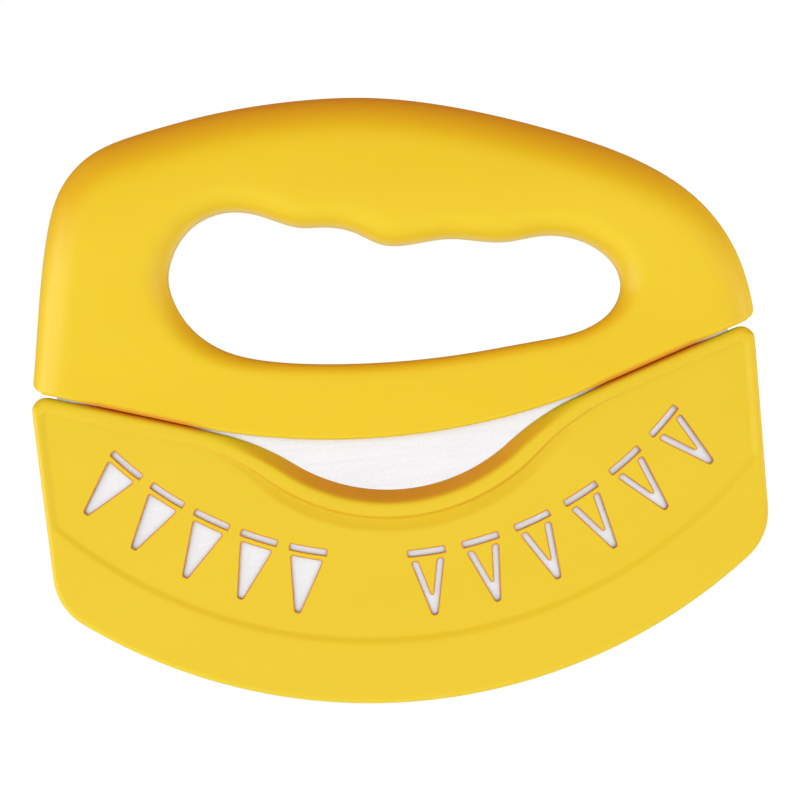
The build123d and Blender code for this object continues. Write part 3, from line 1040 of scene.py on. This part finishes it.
@dataclass
class Guard:
    """The push-on blade guard: two panels, each with a beaded rim, a sunk face and a raised band.

    A Span gives the two places between which something sets in: reaches from the middle, shares
    of a direction for what faces up, down or sideways, or distances from an edge.
    """

    bottom_radius: float = 156.7
    half_length: float = 101.75
    top_height: float = 100.0
    side_lean: float = 1.4
    top_corner_radius: float = 3.8
    bottom_corner_radius: float = 17.0
    shoulder_height: float = 64.0
    shoulder_slope: float = 17.74
    dip_height: float = 59.44
    dip_radius: float = 50.3
    dip_blend_radius: float = 70.0
    half_thickness: float = 5.5
    wall: float = 1.9
    edge_wall: float = 2.3
    cavity_softness: float = 0.05
    face_recess: float = 0.6
    bead_width: float = 4.2
    bead_dip_width: float = 7.9
    side_bead_width: float = 2.4
    recess_corner_radius: float = 1.5
    step_radius: float = 138.0
    step_height: float = 17.5
    passage_half_length: float = 95.2
    passage_half_width: float = 0.95
    passage_above: float = 50.0
    side_rounding: float = 1.2
    shoulder_rounding: float = 2.2
    met_rise: float = 0.50
    met_above: float = 70.0
    met_start: Span = (50.0, 62.0)
    met_end: Span = (82.0, 92.0)
    scoop_width: float = 3.9
    scoop_depth: float = 4.9
    scoop_softness: float = 0.012
    scoop_span: Span = (27.0, 55.0)
    rim_top_facing: Span = (0.35, 0.75)
    wall_width: float = 1.1
    wall_top_facing: Span = (0.4, 0.8)
    wall_low_facing: Span = (0.3, 0.7)
    wall_side_facing: Span = (0.8, 0.95)
    side_wall_share: float = 0.8
    step_width: float = 2.6
    cove_width: float = 3.9
    cove_depth: float = 1.05
    cove_span: Span = (26.0, 52.0)
    cove_start: Span = (-0.45, 0.35)
    cove_easing: float = 0.12
    cove_easing_span: Span = (0.6, 1.0)
    crease_width: float = 1.3
    crease_depth: float = 0.14
    cut_rounding: float = 0.22
    least_depth: float = 0.3
    least_wall: float = 0.2
    crease_angle: float = 40.0
    # painted shade: strengths and fades for the scoop, the shoulders under the handle, the crease
    # and cove under the bead and the cut edges
    scoop_shade: float = 0.64
    scoop_shade_fall: float = 0.12
    scoop_shade_span: Span = (24.0, 50.0)
    scoop_shade_end: Span = (-1.2, 0.5)
    met_shade_end: Span = (0.1, 1.6)
    crease_shade: float = 0.15
    crease_shade_more: float = 0.30
    crease_shade_span: Span = (26.0, 70.0)
    crease_shade_end: Span = (0.1, 0.8)
    cove_shade: float = 0.07
    cove_shade_end: Span = (2.8, 4.0)
    cut_shade: float = 0.9
    cut_shade_end: Span = (0.08, 0.45)
    cut_reach: float = 1.0
    slice_centre_height: float = 148.1
    slice_inner_radius: float = 106.0
    slice_outer_radius: float = 124.5
    slice_width_angle: float = 5.6
    slice_tip_width: float = 1.4
    slice_corner_radius: float = 0.5
    crust_width: float = 1.7
    crust_bridge: float = 1.5
    line_width: float = 1.6
    line_tip_gap: float = 3.8
    line_taper_less: float = 4.0
    slice_arc_count: int = 9
    left_turns: tuple = (-46.0, 7.6, 5)
    right_turns: tuple = (2.2, 8.3, 6)
    bottom_step: float = 0.3
    lower_corner_step: float = 0.2
    upper_corner_step: float = 0.1
    outline_step: float = 0.5
    slice_corner_step: float = 0.12
    slice_step: float = 0.4
    grid_step: float = 0.95
    line_step: float = 0.62
    least_step: float = 0.05
    join_distance: float = 1e-5
    least_turn: float = 1e-9
    outline_insets: tuple = (
        *(0.03, 0.1, 0.22, 0.4, 0.62, 0.88, 1.2),
        *(1.6, 2.1, 2.7, 3.3, 3.7, 4.1, 4.6),
    )
    recess_insets: tuple = (
        *(-1.2, -0.8, -0.5, -0.25, 0.0, 0.2, 0.4, 0.65),
        *(0.95, 1.3, 1.75, 2.3, 2.9, 3.4, 3.9, 4.4),
    )
    cavity_insets: tuple = (-0.06, 0.06)
    slice_gaps: tuple = (0.07, 0.22, 0.34, 0.5)
    row_clearance: float = 0.025
    grid_clearance: float = 4.9
    grid_clearance_outside: float = 1.6
    slice_clearance: float = 0.75

    def region(
        self,
        side: float,
        drop: float,
        dip: float,
        bottom_radius: float,
        bottom_height: float,
        top_corner: float,
        bottom_corner: float,
    ) -> Array:
        """Closed outline of the guard, or of a region inside it.

        The right half runs from the lowest point along the bottom arc, round the lower corner,
        up the leaning side, round the upper corner, down the shoulder, over the blend arc and
        round the dip; the left half mirrors it. A fillet's centre lies at its radius from the
        straight side and at the bottom radius less its own from the bottom arc's centre.

        Args:
            side: how far the sides lie in from the guard's own.
            drop: how far the shoulders lie in.
            dip: how much larger the dip's radius is.
            bottom_radius: radius of the bottom arc.
            bottom_height: height of its lowest point.
            top_corner: radius of the upper corners.
            bottom_corner: radius of the lower corners.

        Returns:
            (n, 2) points of the closed line.
        """
        lean = math.tan(math.radians(self.side_lean))
        up = np.array([lean, 1.0]) / math.hypot(lean, 1.0)
        into = np.array([-up[1], up[0]])
        corner = np.array([self.half_length - side, self.top_height])
        slope = math.radians(self.shoulder_slope)
        along = np.array([math.cos(slope), math.sin(slope)])
        down = np.array([math.sin(slope), -math.cos(slope)])
        start = np.array([0.0, self.shoulder_height - drop / math.cos(slope)])
        dip_centre = np.array([0.0, self.dip_height + self.dip_radius])
        radius, blend = self.dip_radius + dip, self.dip_blend_radius - drop
        bottom_centre = np.array([0.0, bottom_height + bottom_radius])
        shifted = corner + into * bottom_corner - bottom_centre
        b = float(shifted @ up)
        c = float(shifted @ shifted) - (bottom_radius - bottom_corner) ** 2
        lower = corner + into * bottom_corner + up * (-b - math.sqrt(b * b - c))
        lower_side = lower - into * bottom_corner
        lower_floor = bottom_centre + (lower - bottom_centre) * bottom_radius / (
            bottom_radius - bottom_corner
        )
        sides = np.column_stack([up, -along])
        meet = np.linalg.solve(
            sides, (start + down * top_corner) - (corner + into * top_corner)
        )
        upper = corner + into * top_corner + up * meet[0]
        offset = start + down * blend - dip_centre
        reach = float(offset @ along)
        run = math.sqrt(reach**2 - float(offset @ offset) + (radius + blend) ** 2) - reach
        shoulder = start + along * run
        blend_centre = shoulder + down * blend
        dip_end = dip_centre + (blend_centre - dip_centre) * radius / (radius + blend)
        dip_floor = dip_centre - np.array([0.0, radius])
        upper_side, upper_top = upper - into * top_corner, upper - down * top_corner
        lowest = bottom_centre - [0.0, bottom_radius]
        half = np.vstack(
            [
                arc(bottom_centre, lowest, lower_floor, self.bottom_step),
                arc(lower, lower_floor, lower_side, self.lower_corner_step),
                arc(upper, upper_side, upper_top, self.upper_corner_step),
                arc(blend_centre, shoulder, dip_end, self.bottom_step),
                arc(dip_centre, dip_end, dip_floor, self.bottom_step),
            ]
        )
        return np.vstack([half, (half * [-1.0, 1.0])[::-1][1:-1]])

    def outline(self) -> Array:
        """The guard's own outline, its shoulders close under the handle where they carry it.

        Returns:
            (n, 2) points.
        """
        line = self.region(
            0, 0, 0, self.bottom_radius, 0, self.top_corner_radius, self.bottom_corner_radius
        )
        line = resampled(line, self.outline_step)
        high = line[:, 1] > self.met_above
        line[:, 1] += self.met_rise * self.met(np.abs(line[:, 0])) * high
        return line

    def met(self, reach: Array) -> Array:
        """How nearly a shoulder meets the handle's underside, by its reach from the middle."""
        return smoothstep(*self.met_start, reach) * (1 - smoothstep(*self.met_end, reach))

    def recess(self) -> Array:
        """Outline of the sunk face.

        Returns:
            (n, 2) points.
        """
        return self.region(
            self.side_bead_width,
            self.bead_width,
            self.bead_dip_width,
            self.step_radius,
            self.step_height,
            self.recess_corner_radius,
            self.recess_corner_radius,
        )

    def cavity(self) -> Array:
        """Outline of the cavity between the panels.

        Returns:
            (n, 2) points.
        """
        return self.region(
            self.edge_wall,
            self.bead_width,
            self.bead_dip_width,
            self.bottom_radius - self.edge_wall,
            self.edge_wall,
            self.recess_corner_radius,
            self.bottom_corner_radius - self.edge_wall,
        )

    def slices(self) -> list[Array]:
        """Outlines of the cut-outs: pizza slices tip down, their crusts bars of their own.

        Each is drawn below the arc's centre and turned about it by its angle. Those on the left
        are whole, those on the right a line of even width along both sides.

        Returns:
            One closed line to a cut-out.
        """
        crust_end = self.slice_inner_radius + self.crust_width
        body = crust_end + self.crust_bridge
        half_angle = math.radians(self.slice_width_angle) / 2
        wide = body * math.sin(half_angle)
        tip = self.slice_tip_width / 2
        rise = (wide - tip) / (self.slice_outer_radius - self.slice_inner_radius)

        def side_x(radius: float) -> float:
            """The wedge's half width at a radius."""
            return tip + rise * (self.slice_outer_radius - radius)

        def bar_arc(radius: float, x: float) -> Array:
            """Arc about the centre from the right to the left.

            Args:
                radius: the arc's radius.
                x: how far its ends lie to either side.

            Returns:
                (n, 2) points.
            """
            half = math.asin(x / radius)
            angles = np.linspace(half, -half, self.slice_arc_count)
            return radius * np.column_stack([np.sin(angles), -np.cos(angles)])

        top = bar_arc(body, side_x(body * math.cos(half_angle)))
        foot = np.array([[-tip, -self.slice_outer_radius], [tip, -self.slice_outer_radius]])
        rounding = self.slice_corner_radius
        solid_radii = [rounding] + [0] * (len(top) - 2) + [rounding] * 3
        solid = rounded_polygon(np.vstack([top, foot]), solid_radii, self.slice_corner_step)
        apex = np.array([0.0, -self.slice_outer_radius + self.line_tip_gap])
        slope = (wide - self.line_width) / (apex[1] + body - self.line_taper_less)
        inner = bar_arc(body, slope * (apex[1] + body))
        thin = np.vstack([top[:1], inner[:1], apex[None], inner[-1:], top[-1:], foot])
        thin = rounded_polygon(thin, [rounding] * len(thin), self.slice_corner_step)
        near, far = (
            bar_arc(radius, radius * math.sin(half_angle))
            for radius in (self.slice_inner_radius, crust_end)
        )
        crust = np.vstack([far, near[::-1]])
        shapes = []
        for (first, pitch, count), wedge in ((self.left_turns, solid), (self.right_turns, thin)):
            for i in range(count):
                turn = math.radians(first + pitch * i)
                cos, sin = math.cos(turn), math.sin(turn)
                spin = np.array([[cos, -sin], [sin, cos]])
                for shape in (wedge, crust):
                    placed = shape @ spin.T + [0.0, self.slice_centre_height]
                    shapes.append(resampled(placed, self.slice_step))
        return shapes

    def depth(self, points: Array, slices: list[Array]) -> Array:
        """How far the front of a panel stands out from the seam at each place.

        The half thickness, less the rounded outer edge, less the scoop along the dip, less the
        sunk face with its soft wall, less a cove under the bead, less a small round at the cuts.

        Args:
            points: (m, 2) places seen from the front.
            slices: outlines of the cut-outs, or an empty list.

        Returns:
            (m,) depths in millimetres.
        """
        outline, recess = self.outline(), self.recess()
        to_edge, near = distance_to(points, outline)
        topness = smoothstep(*self.rim_top_facing, outward(outline)[near][:, 1])
        dipness = (1 - smoothstep(*self.scoop_span, np.abs(outline[near][:, 0]))) * topness
        width = self.side_rounding + (self.shoulder_rounding - self.side_rounding) * topness
        width = width + (self.scoop_width - self.shoulder_rounding) * dipness
        round_drop = edge_drop(to_edge, width, width)
        t = 1 - to_edge / width
        ramp = self.scoop_depth * 0.5 * (t + np.sqrt(t * t + self.scoop_softness))
        drop = round_drop * (1 - dipness) + ramp * dipness
        sunk, near = depth_inside(points, recess)
        facing = outward(recess)[near]
        top_wall = smoothstep(*self.wall_top_facing, facing[:, 1])
        low_wall = smoothstep(*self.wall_low_facing, -facing[:, 1])
        side_wall = smoothstep(*self.wall_side_facing, np.abs(facing[:, 0]))
        deep_cove = top_wall * (1 - smoothstep(*self.cove_span, np.abs(recess[near][:, 0])))
        softness = np.maximum(low_wall, self.side_wall_share * side_wall)
        soft = self.wall_width + (self.step_width - self.wall_width) * softness
        drop = drop + self.face_recess * smoothstep(0, 1, sunk / soft + 0.5)
        cove_width = self.crease_width + (self.cove_width - self.crease_width) * deep_cove
        cove_depth = self.crease_depth + (self.cove_depth - self.crease_depth) * deep_cove
        cove_depth = cove_depth * (1 - np.maximum(low_wall, side_wall))
        bevel = np.clip(1 - sunk / cove_width, 0, 1)
        bevel = bevel - self.cove_easing * smoothstep(*self.cove_easing_span, 1 - bevel) * bevel
        drop = drop + cove_depth * bevel * smoothstep(*self.cove_start, sunk)
        to_cut = distance_to_shapes(points, slices, self.cut_reach)
        drop = drop + edge_drop(to_cut, self.cut_rounding, self.cut_rounding)
        return np.maximum(self.half_thickness - drop, self.least_depth)

    def hollow_depth(self, points: Array) -> Array:
        """How far the inner side lies from the seam.

        Nothing at the rim, the cavity's depth within its outline, and at least the slot's half
        width where the blade passes.

        Args:
            points: (m, 2) places seen from the front.

        Returns:
            (m,) distances.
        """
        within, _ = depth_inside(points, self.cavity())
        full = self.half_thickness - self.face_recess - self.wall
        high = points[:, 1] > self.passage_above
        slot = (np.abs(points[:, 0]) < self.passage_half_length) & high
        deep = full * smoothstep(-self.cavity_softness, self.cavity_softness, within)
        return np.maximum(deep, np.where(slot, self.passage_half_width, 0.0))

    def plan(self, slices: list[Array]) -> tuple[Array, Array]:
        """Triangles that cover the panel seen from the front, with its cut-outs left open.

        A square grid fills the middle, and rows of points follow every edge, so that each
        rounding gets rings of its own; a constrained Delaunay triangulation joins them.

        Args:
            slices: outlines of the cut-outs, or an empty list.

        Returns:
            Points (n, 2) and triangles (m, 3).
        """
        lines = (self.outline(), self.recess(), self.cavity())
        outline, recess, cavity = (resampled(line, self.line_step) for line in lines)
        rows = [outline - outward(outline) * inset for inset in self.outline_insets]
        rows += [recess - outward(recess) * inset for inset in self.recess_insets]
        rows += [cavity - outward(cavity) * inset for inset in self.cavity_insets]
        rows += [shape + outward(shape) * gap for shape in slices for gap in self.slice_gaps]
        rows = np.vstack(rows)
        rows = rows[inside(rows, outline)]
        rows = rows[distance_to(rows, outline)[0] > self.row_clearance]
        rows = rows[~in_shapes(rows, slices)]
        rounded = np.round(rows / self.least_step).astype(int)
        rows = rows[np.sort(np.unique(rounded, axis=0, return_index=True)[1])]
        fill = self.grid(outline, recess, slices)
        loops = [outline, *slices]
        edges, start = [], 0
        for loop in loops:
            index = np.arange(start, start + len(loop))
            edges.append(np.column_stack([index, np.roll(index, -1)]))
            start += len(loop)
        points = [tuple(point) for point in np.vstack([*loops, rows, fill]).tolist()]
        made = geometry.delaunay_2d_cdt(
            points, np.vstack(edges).tolist(), [], 0, self.join_distance, False
        )
        placed = np.array([(point[0], point[1]) for point in made[0]])
        triangles = np.array(made[2])
        middle = placed[triangles].mean(axis=1)
        triangles = triangles[inside(middle, outline) & ~in_shapes(middle, slices)]
        a, b, c = (placed[triangles[:, k]] for k in range(3))
        first, second = b - a, c - a
        turn = first[:, 0] * second[:, 1] - first[:, 1] * second[:, 0]
        real = np.abs(turn) > self.least_turn
        triangles, turn = triangles[real], turn[real]
        triangles[turn < 0] = triangles[turn < 0][:, ::-1]
        return placed, triangles

    def grid(self, outline: Array, recess: Array, slices: list[Array]) -> Array:
        """Square grid for the open faces, clear of the rows of points that follow the edges.

        Args:
            outline: the panel's outline.
            recess: the sunk face's outline.
            slices: outlines of the cut-outs, or an empty list.

        Returns:
            (n, 2) points.
        """
        low, high = outline.min(0), outline.max(0)
        across = np.arange(low[0], high[0], self.grid_step)
        upward = np.arange(low[1], high[1], self.grid_step)
        fill = np.stack(np.meshgrid(across, upward), axis=-1).reshape(-1, 2)
        fill = fill[inside(fill, outline)]
        fill = fill[distance_to(fill, outline)[0] > self.grid_clearance]
        within, _ = depth_inside(fill, recess)
        fill = fill[(within > self.grid_clearance) | (within < -self.grid_clearance_outside)]
        near_cut = distance_to_shapes(fill, slices, self.slice_clearance) < self.slice_clearance
        return fill[~(near_cut | in_shapes(fill, slices))]

    def panel(self, side: Side) -> bpy.types.Object:
        """One panel as a closed solid: its front, its inner side, and walls along every loop.

        The cut-outs go through the front panel only.

        Args:
            side: which panel.

        Returns:
            The panel's object.
        """
        slices = self.slices() if side is Side.FRONT else []
        placed, triangles = self.plan(slices)
        depth = self.depth(placed, slices)
        front = depth * side.value
        back = np.minimum(self.hollow_depth(placed), depth - self.least_wall) * side.value
        count = len(placed)
        vertices = np.vstack(
            [
                np.column_stack([placed[:, 0], front, placed[:, 1]]),
                np.column_stack([placed[:, 0], back, placed[:, 1]]),
            ]
        )
        sides = np.vstack([triangles[:, [0, 1]], triangles[:, [1, 2]], triangles[:, [2, 0]]])
        key = sides[:, 0].astype(np.int64) * count + sides[:, 1]
        mirrored = sides[:, 1].astype(np.int64) * count + sides[:, 0]
        rim = sides[~np.isin(key, mirrored)]
        walls = np.vstack(
            [
                np.column_stack([rim[:, 0], rim[:, 0] + count, rim[:, 1] + count]),
                np.column_stack([rim[:, 0], rim[:, 1] + count, rim[:, 1]]),
            ]
        )
        faces = side.outwards(np.vstack([triangles, triangles[:, ::-1] + count, walls]))
        piece = mesh_piece(f"guard_{side.word}_skin", vertices, faces, self.crease_angle)
        # painted shade, stored at each vertex of both faces
        mark_painted_shade(piece, np.tile(self.painted_shade_shares(placed, slices), 2))
        return piece

    def painted_shade_shares(self, points: Array, slices: list[Array]) -> Array:
        """Painted shade: in the scoop, along the shoulders' edge, in the crease and cove under the
        bead, at the cuts.

        Args:
            points: (m, 2) places seen from the front.
            slices: outlines of the cut-outs, or an empty list.

        Returns:
            (m,) shares from 0 to 1.
        """
        outline, recess = self.outline(), self.recess()
        to_edge, near = distance_to(points, outline)
        topness = smoothstep(*self.rim_top_facing, outward(outline)[near][:, 1])
        reach = np.abs(outline[near][:, 0])
        dipness = (1 - smoothstep(*self.scoop_shade_span, reach)) * topness
        past = smoothstep(*self.scoop_shade_end, to_edge - self.scoop_width)
        scoop = dipness * (self.scoop_shade - self.scoop_shade_fall * to_edge / self.scoop_width)
        met = self.met(reach) * topness * (1 - smoothstep(*self.met_shade_end, to_edge))
        sunk, near = depth_inside(points, recess)
        top_wall = smoothstep(*self.wall_top_facing, outward(recess)[near][:, 1])
        deep = 1 - smoothstep(*self.crease_shade_span, np.abs(recess[near][:, 0]))
        crease = top_wall * (self.crease_shade + self.crease_shade_more * deep)
        crease = crease * (1 - smoothstep(*self.crease_shade_end, np.abs(sunk)))
        cove = self.cove_shade * top_wall * deep * (1 - smoothstep(*self.cove_shade_end, sunk))
        to_cut = distance_to_shapes(points, slices, self.cut_reach)
        cut = self.cut_shade * (1 - smoothstep(*self.cut_shade_end, to_cut))
        return np.maximum.reduce([scoop * (1 - past), met, crease, cove * (sunk > 0), cut])

    def build(self) -> None:
        """Makes both panels, lets them ride on the guard and stand for their nodes."""
        plastic = GUARD_PLASTIC.material()
        for side, node in ((Side.FRONT, "guard_front_panel"), (Side.REAR, "guard_rear_panel")):
            piece = self.panel(side)
            piece.data.materials.append(plastic)
            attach(piece, "guard")
            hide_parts(node)
            LOG.info("%s: %d faces", piece.name, len(piece.data.polygons))


# The metal


@dataclass
class Blade:
    """The stamped blade and its pins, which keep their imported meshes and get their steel."""

    nodes: dict

    def build(self) -> None:
        """Puts the ground steel on the blade and on the pins."""
        for node, finish in (("blade", BLADE_STEEL), ("tang_pins", PIN_STEEL)):
            piece = self.nodes[node]
            piece.data.materials.clear()
            piece.data.materials.append(finish.material())
            LOG.info("%s: %d faces", piece.name, len(piece.data.polygons))


# The studio


@dataclass(frozen=True)
class SoftLamp:
    """A rectangular lamp that looks at the object's middle, in metres and watts."""

    name: str
    place: Three
    size: Two
    power: float
    mirrored: bool = True
    aim: Three = (0.0, 0.0, 0.09)

    def build(self) -> None:
        """Makes the lamp; glossy surfaces show it only if it is mirrored, the camera never."""
        data = bpy.data.lights.new(self.name, "AREA")
        data.shape = "RECTANGLE"
        data.size, data.size_y = self.size
        data.energy = self.power
        lamp = bpy.data.objects.new(self.name, data)
        lamp.visible_camera = False
        lamp.visible_glossy = self.mirrored
        lamp.location = self.place
        way = np.array(self.aim) - np.array(self.place)
        tilt = math.acos(-way[2] / float(np.linalg.norm(way)))
        lamp.rotation_euler = (tilt, 0.0, math.atan2(way[1], way[0]) - math.pi / 2)
        bpy.context.scene.collection.objects.link(lamp)


LAMPS = (
    SoftLamp("lamp_front", (0.0, -1.7, -0.35), (0.9, 0.5), 9.6, mirrored=False),
    SoftLamp("lamp_left", (-1.2, -1.1, -0.15), (0.9, 0.9), 7.2),
    SoftLamp("lamp_right", (1.2, -1.1, -0.40), (0.9, 0.9), 6.6),
    SoftLamp("lamp_left_side", (-1.5, -0.25, 0.20), (0.8, 0.8), 5.5),
    SoftLamp("lamp_right_side", (1.5, -0.25, -0.20), (0.8, 0.8), 6.5),
)


@dataclass
class Studio:
    """Pale floor, pale surroundings, soft lamps and the camera.

    Lengths are metres here, but for the floor's height, the lens and the sensor. The knife hangs
    from its opening, so high above the floor that the guard can come off downwards.
    """

    roll: float = 5.87
    frame_width: float = 0.224
    target: Three = (0.00109, 0.0, 0.0843)
    setback: float = 0.002
    lens: float = 220.0
    sensor: float = 36.0
    view_reach: float = 100.0
    floor_size: float = 3.0
    floor_height: float = -102.5
    floor_grain: float = 900.0
    floor_deep: Three = (0.20, 0.45, 0.84)
    floor_pale: Three = (0.22, 0.48, 0.88)
    glow_from: float = 0.22
    glow_over: float = 0.55
    table_glow: Three = (0.46, 0.24, 0.17)
    table_shown: Three = (0.86, 0.87, 0.93)
    front_ceiling_light: Three = (0.48, 0.02, 0.00)
    rear_ceiling_light: Three = (1.35, 0.74, 0.22)
    lower_light: Three = (0.60, 0.30, 0.20)
    ceiling: Three = (0.13, 0.09, 0.06)
    rear_ramp: Two = (0.9, 0.5)
    upper_ramp: Two = (2.2, 0.5)
    dull_upper_ramp: Two = (2.5, -0.5)
    dull_rear_ramp: Two = (1.6, 0.1)
    dull_rear_share: float = 0.8

    def camera(self) -> None:
        """A long lens, level with the object's middle and turned about its own axis."""
        data = bpy.data.cameras.new("camera")
        data.lens, data.sensor_width = self.lens, self.sensor
        data.clip_end = self.view_reach
        camera = bpy.data.objects.new("camera", data)
        distance = self.lens * self.frame_width / self.sensor + self.setback
        camera.location = (self.target[0], self.target[1] - distance, self.target[2])
        camera.rotation_euler = (math.pi / 2, math.radians(self.roll), 0.0)
        bpy.context.scene.collection.objects.link(camera)
        bpy.context.scene.camera = camera

    def floor(self) -> None:
        """A luminous pale table that keeps the soft shadow and fades into the surroundings.

        The camera and mirrors see it pale, while the light that it throws up is its warm glow.
        """
        half = self.floor_size / 2
        corners = np.array([[-half, -half], [half, -half], [half, half], [-half, half]]) / MM
        vertices = np.column_stack([corners, np.full(4, self.floor_height)])
        floor = mesh_piece("floor", vertices, np.array([[0, 1, 2, 3]]), crease_angle=30.0)
        shade = Shade(bpy.data.materials.new("floor_paper"))
        place = shade.place()
        length = shade.value("ShaderNodeVectorMath", {"operation": "LENGTH"}, {0: place}, "Value")
        path = shade.node("ShaderNodeLightPath").outputs
        mirrored = Value(shade, path["Is Glossy Ray"])
        seen = (Value(shade, path["Is Camera Ray"]) + mirrored).clipped()
        far = ((length - self.glow_from) / self.glow_over + mirrored).clipped()
        grain = shade.noise(place, self.floor_grain, detail=3.0)
        inputs = {
            "Base Color": shade.mixed(grain, self.floor_deep, self.floor_pale),
            "Roughness": 0.85,
            "Specular IOR Level": 0.2,
            "Emission Color": shade.mixed(seen, self.table_glow, self.table_shown),
            "Emission Strength": 1.0,
        }
        near = shade.node("ShaderNodeBsdfPrincipled", {}, inputs)
        glow = shade.node("ShaderNodeEmission", {}, {"Color": (*WHITE, 1.0), "Strength": 1.0})
        both = shade.node(
            "ShaderNodeMixShader", {}, {0: far * seen, 1: near.outputs[0], 2: glow.outputs[0]}
        )
        floor.data.materials.append(shade.finish(both.outputs[0]))
        floor.visible_shadow = False

    def surroundings(self) -> None:
        """World light: warm from above, most of all above and behind, paler from below.

        Its ramps, each a slope and a start, run over the direction's upward and rearward parts.
        The camera sees white. Reflections show white in front and below, and the dim ceiling
        above and behind.
        """
        shade = Shade(bpy.data.worlds.new("surroundings"))
        direction = shade.node("ShaderNodeTexCoord").outputs["Generated"]
        split = shade.node("ShaderNodeSeparateXYZ", {}, {0: direction}).outputs
        rearward, upward = Value(shade, split[1]), Value(shade, split[2])
        overhead = rearward.ramp(*self.rear_ramp)
        upper = shade.mixed(overhead, self.front_ceiling_light, self.rear_ceiling_light)
        cast = shade.mixed(upward.ramp(*self.upper_ramp), self.lower_light, upper)
        behind = rearward.ramp(*self.dull_rear_ramp) * self.dull_rear_share
        dull = (upward.ramp(*self.dull_upper_ramp) + behind).clipped()
        shown = shade.mixed(dull, WHITE, self.ceiling)
        path = shade.node("ShaderNodeLightPath").outputs
        glossy = Value(shade, path["Is Glossy Ray"])
        through = Value(shade, path["Is Transmission Ray"])
        colour = shade.mixed((glossy + through).clipped(), cast, shown)
        colour = shade.mixed(Value(shade, path["Is Camera Ray"]), colour, WHITE)
        background = shade.node("ShaderNodeBackground", {}, {"Color": colour})
        bpy.context.scene.world = shade.finish(background.outputs[0])

    def build(self) -> None:
        """Sets up the camera, floor, surroundings, lamps and the plain view transform."""
        self.camera()
        self.floor()
        self.surroundings()
        for lamp in LAMPS:
            lamp.build()
        bpy.context.scene.view_settings.view_transform = "Standard"


def main() -> None:
    logging.basicConfig(level=logging.INFO, format="%(name)s: %(message)s")
    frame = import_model()
    Handle().build()
    Guard().build()
    Blade(frame["nodes"]).build()
    Studio().build()
    bpy.context.view_layer.update()


if __name__ == "__main__":
    main()
